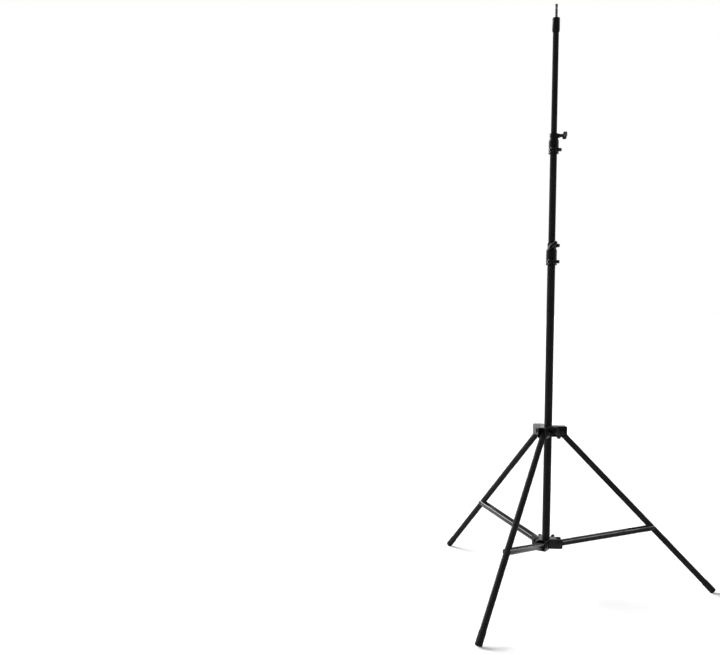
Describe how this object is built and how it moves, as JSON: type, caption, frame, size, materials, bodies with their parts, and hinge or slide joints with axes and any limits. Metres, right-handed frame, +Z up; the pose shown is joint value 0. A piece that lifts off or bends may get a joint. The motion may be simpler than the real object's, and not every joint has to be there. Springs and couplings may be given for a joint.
{
  "type": "folding tripod light stand",
  "caption": "Black folding tripod light stand: telescoping tube mast with T-knob clamp collars, sliding hub, braced tube legs with rubber feet and a grooved stud on top.",
  "frame": {"origin": "on the mast axis at floor level", "axes": "+Z up along the mast, +X outward along leg 1"},
  "size_m": [0.8354, 0.9612, 1.8915],
  "materials": {
    "tube_black": "satin black coat",
    "moulded_black": "fine-grained black moulding",
    "plug_black": "plain black moulding",
    "rubber_black": "matte black rubber",
    "brace_black": "semi-gloss black paint",
    "fastener_black": "black zinc",
    "steel": "bright plated",
    "brass": "turned"
  },
  "bodies": {
    "lower_mast": {"lower_tube": "tube_black", "base_plug": "plug_black", "brace_bracket": "moulded_black", "bracket_insert": "brass", "brace_pivot_bolts": "fastener_black", "brace_pivot_nuts": "fastener_black", "lower_collar": "moulded_black", "lower_blank_screw": "fastener_black", "lower_pinch_bolt": "fastener_black", "lower_pinch_nut": "fastener_black"},
    "bracket_knob_set": {"bracket_knob": "moulded_black", "bracket_knob_screw": "steel"},
    "lower_knob_set": {"lower_knob": "moulded_black", "lower_knob_screw": "steel"},
    "hub": {"leg_hub": "moulded_black", "hub_insert": "brass", "leg_pivot_bolts": "fastener_black", "leg_pivot_nuts": "fastener_black"},
    "hub_knob_set": {"hub_knob": "moulded_black", "hub_knob_screw": "steel"},
    "middle_ring": {"middle_guide_ring": "plug_black"},
    "middle_section": {"middle_tube": "tube_black", "middle_plug": "plug_black", "upper_collar": "moulded_black", "upper_pinch_bolt": "fastener_black", "upper_pinch_nut": "fastener_black"},
    "upper_knob_set": {"upper_knob": "moulded_black", "upper_knob_screw": "steel"},
    "upper_ring": {"upper_guide_ring": "plug_black"},
    "upper_section": {"upper_tube": "tube_black", "upper_plug": "plug_black", "head_cap": "moulded_black", "head_cap_screw": "fastener_black", "stud": "steel", "stud_nut": "steel"},
    "leg_1": {"leg_tube_1": "tube_black", "leg_plug_1": "plug_black", "foot_1": "rubber_black"},
    "brace_arm_1": {"brace_1": "brace_black", "brace_rivets_1": "fastener_black"},
    "leg_2": {"leg_tube_2": "tube_black", "leg_plug_2": "plug_black", "foot_2": "rubber_black"},
    "brace_arm_2": {"brace_2": "brace_black", "brace_rivets_2": "fastener_black"},
    "leg_3": {"leg_tube_3": "tube_black", "leg_plug_3": "plug_black", "foot_3": "rubber_black"},
    "brace_arm_3": {"brace_3": "brace_black", "brace_rivets_3": "fastener_black"}
  },
  "joints": [
    {"name": "hub_slide", "type": "slide", "parent": "lower_mast", "child": "hub", "axis": [0, 0, 1], "range_m": [0, 0.37236]},
    {"name": "middle_slide", "type": "slide", "parent": "lower_mast", "child": "middle_ring", "axis": [0, 0, 1], "range_m": [-0.28, 0.5]},
    {"name": "middle_swivel", "type": "hinge", "parent": "middle_ring", "child": "middle_section", "pos_m": [0, 0, 0.51], "axis": [0, 0, 1], "continuous": true},
    {"name": "upper_slide", "type": "slide", "parent": "middle_section", "child": "upper_ring", "axis": [0, 0, 1], "range_m": [-0.318, 0.46]},
    {"name": "upper_swivel", "type": "hinge", "parent": "upper_ring", "child": "upper_section", "pos_m": [0, 0, 0.902], "axis": [0, 0, 1], "continuous": true},
    {"name": "bracket_knob_turn", "type": "hinge", "parent": "lower_mast", "child": "bracket_knob_set", "pos_m": [0.0159, 0.02544, 0.15455], "axis": [0.5299, 0.848, 0], "range_deg": [0, 450]},
    {"name": "lower_knob_turn", "type": "hinge", "parent": "lower_mast", "child": "lower_knob_set", "pos_m": [-0.00262, -0.02989, 1.12255], "axis": [-0.0872, -0.9962, 0], "range_deg": [0, 450]},
    {"name": "hub_knob_turn", "type": "hinge", "parent": "hub", "child": "hub_knob_set", "pos_m": [0.015, -0.02598, 0.52154], "axis": [0.5, -0.866, 0], "range_deg": [0, 450]},
    {"name": "upper_knob_turn", "type": "hinge", "parent": "middle_section", "child": "upper_knob_set", "pos_m": [0.02719, -0.01268, 1.47255], "axis": [0.9063, -0.4226, 0], "range_deg": [0, 450]},
    {"name": "leg_fold_1", "type": "hinge", "parent": "hub", "child": "leg_1", "pos_m": [0.042, 0, 0.51754], "axis": [0, 1, 0], "range_deg": [0, 42.51]},
    {"name": "brace_fold_1", "type": "hinge", "parent": "lower_mast", "child": "brace_arm_1", "pos_m": [0.041, 0, 0.15455], "axis": [0, -1, 0], "range_deg": [0, 76.33]},
    {"name": "leg_fold_2", "type": "hinge", "parent": "hub", "child": "leg_2", "pos_m": [-0.021, 0.03637, 0.51754], "axis": [-0.866, -0.5, 0], "range_deg": [0, 42.51]},
    {"name": "brace_fold_2", "type": "hinge", "parent": "lower_mast", "child": "brace_arm_2", "pos_m": [-0.0205, 0.03551, 0.15455], "axis": [0.866, 0.5, 0], "range_deg": [0, 76.33]},
    {"name": "leg_fold_3", "type": "hinge", "parent": "hub", "child": "leg_3", "pos_m": [-0.021, -0.03637, 0.51754], "axis": [0.866, -0.5, 0], "range_deg": [0, 42.51]},
    {"name": "brace_fold_3", "type": "hinge", "parent": "lower_mast", "child": "brace_arm_3", "pos_m": [-0.0205, -0.03551, 0.15455], "axis": [-0.866, 0.5, 0], "range_deg": [0, 76.33]}
  ],
  "couplings": [
    {"joint": "leg_fold_1", "follows": "hub_slide", "rad_per_m": 1.9921},
    {"joint": "brace_fold_1", "follows": "hub_slide", "rad_per_m": 3.5772},
    {"joint": "leg_fold_2", "follows": "hub_slide", "rad_per_m": 1.9921},
    {"joint": "brace_fold_2", "follows": "hub_slide", "rad_per_m": 3.5772},
    {"joint": "leg_fold_3", "follows": "hub_slide", "rad_per_m": 1.9921},
    {"joint": "brace_fold_3", "follows": "hub_slide", "rad_per_m": 3.5772}
  ]
}
